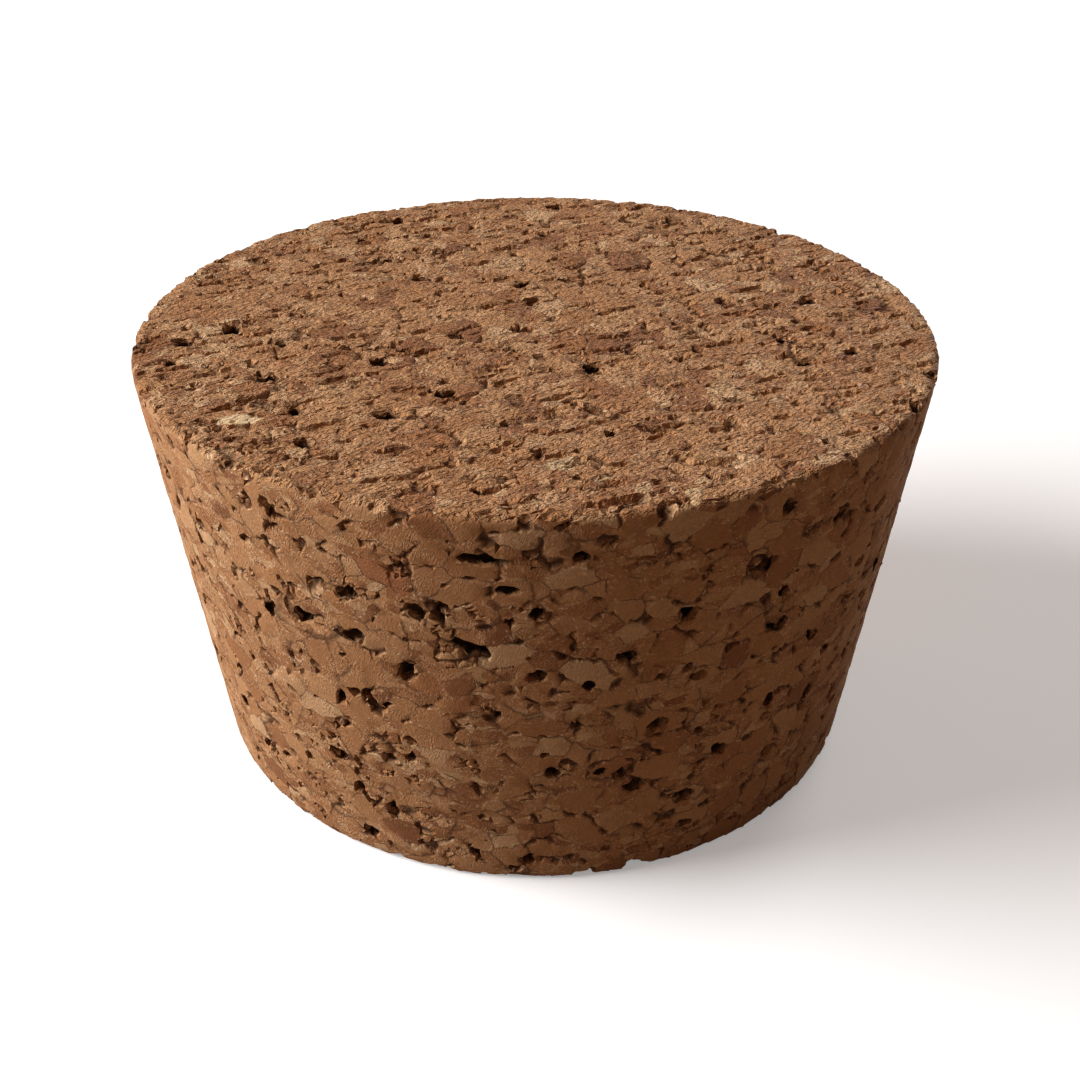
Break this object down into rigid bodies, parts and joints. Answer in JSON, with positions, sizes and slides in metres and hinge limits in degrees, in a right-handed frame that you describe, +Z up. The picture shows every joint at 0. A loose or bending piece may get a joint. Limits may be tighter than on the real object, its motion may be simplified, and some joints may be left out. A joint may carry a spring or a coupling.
{
  "type": "tapered cork stopper",
  "caption": "Tapered round stopper of agglomerated cork, ground flat on both ends, with open voids between its granules, that wedges in a jar or bottle mouth to close it.",
  "frame": {"origin": "centre of the narrow end, on the plane that the stopper stands on", "axes": "+Z up the axis of the taper to the wide end, and -Y towards the side that the picture shows in front"},
  "size_m": [0.0498, 0.0498, 0.027],
  "materials": {
    "cork": "matte, pressed cork granules with a ground surface"
  },
  "bodies": {
    "root": {"stopper": "cork"}
  },
  "joints": []
}
